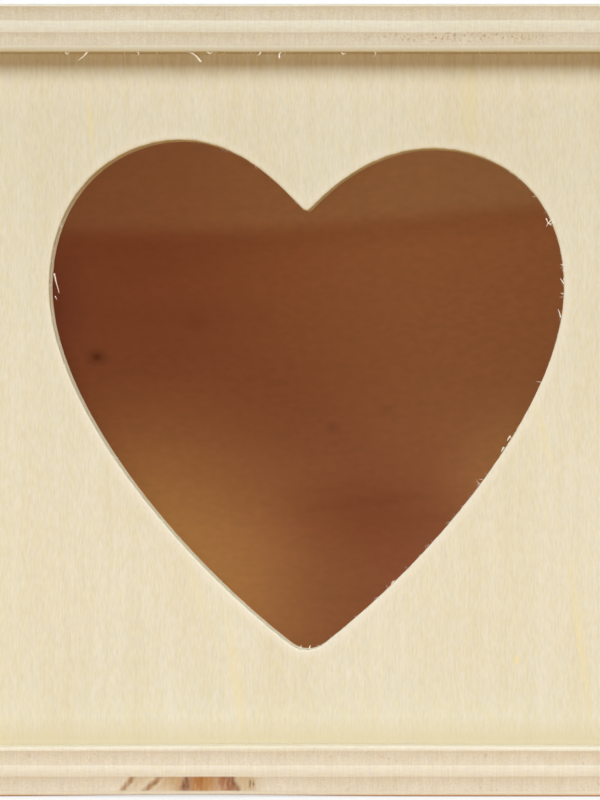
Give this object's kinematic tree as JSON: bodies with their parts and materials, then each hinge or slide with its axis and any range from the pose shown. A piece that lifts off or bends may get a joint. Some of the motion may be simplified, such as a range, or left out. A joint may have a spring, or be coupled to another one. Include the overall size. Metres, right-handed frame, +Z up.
{
  "type": "wooden box",
  "caption": "Square plywood box that stands upright, with a heart-shaped window cut through its recessed front panel.",
  "frame": {"origin": "centre of the underside, on the surface that the box stands on", "axes": "+Z up, the front with the heart faces -Y, +X to the right of someone who looks at the front"},
  "size_m": [0.1, 0.07, 0.1],
  "materials": {
    "pale_plywood": "bare sanded plywood, with its plies showing at the edges",
    "pale_veneer": "bare sanded veneer with fine upright grain",
    "brown_veneer": "bare brown veneer with level grain and a few knots"
  },
  "bodies": {
    "root": {"top_board": "pale_plywood", "bottom_board": "pale_plywood", "left_side": "pale_plywood", "right_side": "pale_plywood", "front_panel": "pale_veneer", "back_panel": "brown_veneer"}
  },
  "joints": []
}
